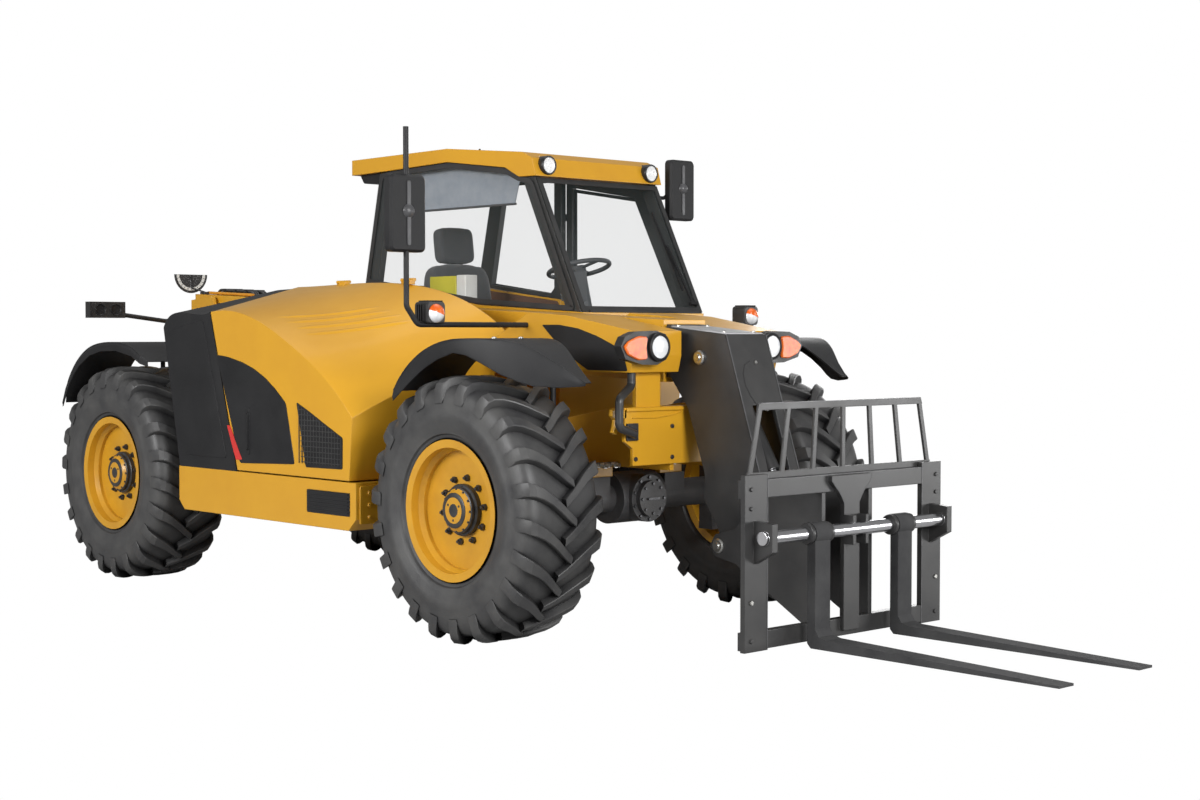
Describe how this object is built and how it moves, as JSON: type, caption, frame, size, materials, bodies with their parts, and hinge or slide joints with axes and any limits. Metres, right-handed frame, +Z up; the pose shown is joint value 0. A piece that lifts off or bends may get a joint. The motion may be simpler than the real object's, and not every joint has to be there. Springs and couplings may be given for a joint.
{
  "type": "telescopic handler",
  "caption": "Compact telescopic handler with a side cab, a low engine cowl, a sloping boom with a dog-leg head, a fork carriage and lugged tyres.",
  "frame": {"origin": "on the ground, on the centre plane, at the middle of the machine's length", "axes": "+X forward to the forks, +Y to the cab side, +Z up"},
  "size_m": [6.66, 2.717, 2.5],
  "materials": {
    "black_paint": "satin",
    "black_plastic": "matte",
    "cab_glass": "clear",
    "cast": "matte",
    "chrome_rod": "polished",
    "lamp": "gloss",
    "seat_fabric": "matte",
    "tyre_rubber": "matte",
    "yellow_paint": "gloss"
  },
  "bodies": {
    "chassis": {"frame": "yellow_paint", "front_axle": "cast", "rear_axle": "cast", "engine_block": "cast", "sill": "yellow_paint", "rear_cowl": "black_plastic", "fairing": "yellow_paint", "lamps": "lamp", "mirrors": "black_plastic", "guard_tube": "black_paint", "tank_steps": "black_plastic", "cab_frame": "yellow_paint", "cab_posts": "black_paint", "cab_roof": "yellow_paint", "cab_glass": "cab_glass", "seat": "seat_fabric", "controls": "black_plastic"},
    "hood": {"hood": "yellow_paint"},
    "door": {"door": "black_plastic", "door_glass": "cab_glass"},
    "boom": {"boom_outer": "yellow_paint", "boom_hoses": "black_plastic", "angle_indicator": "black_paint"},
    "boom_inner": {"boom_inner": "black_paint"},
    "lift_barrel": {"lift_barrel": "black_paint"},
    "lift_rod": {"lift_rod": "chrome_rod"},
    "tilt_barrel": {"tilt_barrel": "black_paint"},
    "tilt_rod": {"tilt_rod": "chrome_rod"},
    "carriage": {"carriage": "black_paint", "load_guard": "black_paint"},
    "fork_left": {"fork_left": "black_paint"},
    "fork_right": {"fork_right": "black_paint"},
    "front_steer_rod": {"front_steer_rod": "chrome_rod"},
    "rear_steer_rod": {"rear_steer_rod": "chrome_rod"},
    "knuckle_front_left": {"knuckle_front_left": "cast", "fender_front_left": "black_plastic"},
    "wheel_front_left": {"tyre_front_left": "tyre_rubber", "rim_front_left": "yellow_paint"},
    "knuckle_front_right": {"knuckle_front_right": "cast", "fender_front_right": "black_plastic"},
    "wheel_front_right": {"tyre_front_right": "tyre_rubber", "rim_front_right": "yellow_paint"},
    "knuckle_rear_left": {"knuckle_rear_left": "cast", "fender_rear_left": "black_plastic"},
    "wheel_rear_left": {"tyre_rear_left": "tyre_rubber", "rim_rear_left": "yellow_paint"},
    "knuckle_rear_right": {"knuckle_rear_right": "cast", "fender_rear_right": "black_plastic"},
    "wheel_rear_right": {"tyre_rear_right": "tyre_rubber", "rim_rear_right": "yellow_paint"}
  },
  "joints": [
    {"name": "steer_front_left", "type": "hinge", "parent": "chassis", "child": "knuckle_front_left", "pos_m": [0.605, 0.8, 0.625], "axis": [0, 0, 1], "range_deg": [-30, 30]},
    {"name": "spin_front_left", "type": "hinge", "parent": "knuckle_front_left", "child": "wheel_front_left", "pos_m": [0.605, 0.94, 0.625], "axis": [0, 1, 0], "continuous": true},
    {"name": "steer_front_right", "type": "hinge", "parent": "chassis", "child": "knuckle_front_right", "pos_m": [0.605, -0.8, 0.625], "axis": [0, 0, 1], "range_deg": [-30, 30]},
    {"name": "spin_front_right", "type": "hinge", "parent": "knuckle_front_right", "child": "wheel_front_right", "pos_m": [0.605, -0.94, 0.625], "axis": [0, 1, 0], "continuous": true},
    {"name": "steer_rear_left", "type": "hinge", "parent": "chassis", "child": "knuckle_rear_left", "pos_m": [-2.595, 0.8, 0.625], "axis": [0, 0, 1], "range_deg": [-30, 30]},
    {"name": "spin_rear_left", "type": "hinge", "parent": "knuckle_rear_left", "child": "wheel_rear_left", "pos_m": [-2.595, 0.94, 0.625], "axis": [0, 1, 0], "continuous": true},
    {"name": "steer_rear_right", "type": "hinge", "parent": "chassis", "child": "knuckle_rear_right", "pos_m": [-2.595, -0.8, 0.625], "axis": [0, 0, 1], "range_deg": [-30, 30]},
    {"name": "spin_rear_right", "type": "hinge", "parent": "knuckle_rear_right", "child": "wheel_rear_right", "pos_m": [-2.595, -0.94, 0.625], "axis": [0, 1, 0], "continuous": true},
    {"name": "front_rod_slide", "type": "slide", "parent": "chassis", "child": "front_steer_rod", "axis": [0, 1, 0], "range_m": [-0.1, 0.1]},
    {"name": "rear_rod_slide", "type": "slide", "parent": "chassis", "child": "rear_steer_rod", "axis": [0, 1, 0], "range_m": [-0.1, 0.1]},
    {"name": "boom_lift", "type": "hinge", "parent": "chassis", "child": "boom", "pos_m": [-3.145, 0, 1.575], "axis": [0, -1, 0], "range_deg": [0, 65]},
    {"name": "boom_extend", "type": "slide", "parent": "boom", "child": "boom_inner", "axis": [0.999, 0, -0.044], "range_m": [0, 2.5]},
    {"name": "carriage_tilt", "type": "hinge", "parent": "boom_inner", "child": "carriage", "pos_m": [1.394, 0, 0.455], "axis": [0, 1, 0], "range_deg": [-12, 75]},
    {"name": "lift_barrel_swing", "type": "hinge", "parent": "chassis", "child": "lift_barrel", "pos_m": [-2.85, 0, 0.84], "axis": [0, -1, 0], "range_deg": [0, 53.3]},
    {"name": "lift_rod_slide", "type": "slide", "parent": "lift_barrel", "child": "lift_rod", "axis": [0.9412, 0, 0.338], "range_m": [0, 0.85]},
    {"name": "tilt_barrel_swing", "type": "hinge", "parent": "boom_inner", "child": "tilt_barrel", "pos_m": [1.24, 0, 1.33], "axis": [0, 1, 0], "range_deg": [-1.5, 8.8]},
    {"name": "tilt_rod_slide", "type": "slide", "parent": "tilt_barrel", "child": "tilt_rod", "axis": [0.522, 0, -0.853], "range_m": [-0.065, 0.39]},
    {"name": "door_hinge", "type": "hinge", "parent": "chassis", "child": "door", "pos_m": [-1.111, 1.155, 1.2], "axis": [0, 0, 1], "range_deg": [0, 85]},
    {"name": "hood_hinge", "type": "hinge", "parent": "chassis", "child": "hood", "pos_m": [-0.9, -0.391, 1.732], "axis": [-1, 0, 0], "range_deg": [0, 50]},
    {"name": "fork_left_slide", "type": "slide", "parent": "carriage", "child": "fork_left", "axis": [0, 1, 0], "range_m": [-0.1, 0.2]},
    {"name": "fork_right_slide", "type": "slide", "parent": "carriage", "child": "fork_right", "axis": [0, -1, 0], "range_m": [-0.1, 0.2]}
  ],
  "couplings": [
    {"joint": "steer_front_right", "follows": "steer_front_left", "ratio": 1},
    {"joint": "steer_rear_right", "follows": "steer_rear_left", "ratio": 1},
    {"joint": "front_rod_slide", "follows": "steer_front_left", "m_per_rad": -0.175},
    {"joint": "rear_rod_slide", "follows": "steer_rear_left", "m_per_rad": 0.175},
    {"joint": "lift_barrel_swing", "follows": "boom_lift", "ratio": 0.81412},
    {"joint": "lift_rod_slide", "follows": "boom_lift", "m_per_rad": 0.7417},
    {"joint": "tilt_barrel_swing", "follows": "carriage_tilt", "ratio": 0.11389},
    {"joint": "tilt_rod_slide", "follows": "carriage_tilt", "m_per_rad": 0.29143}
  ]
}
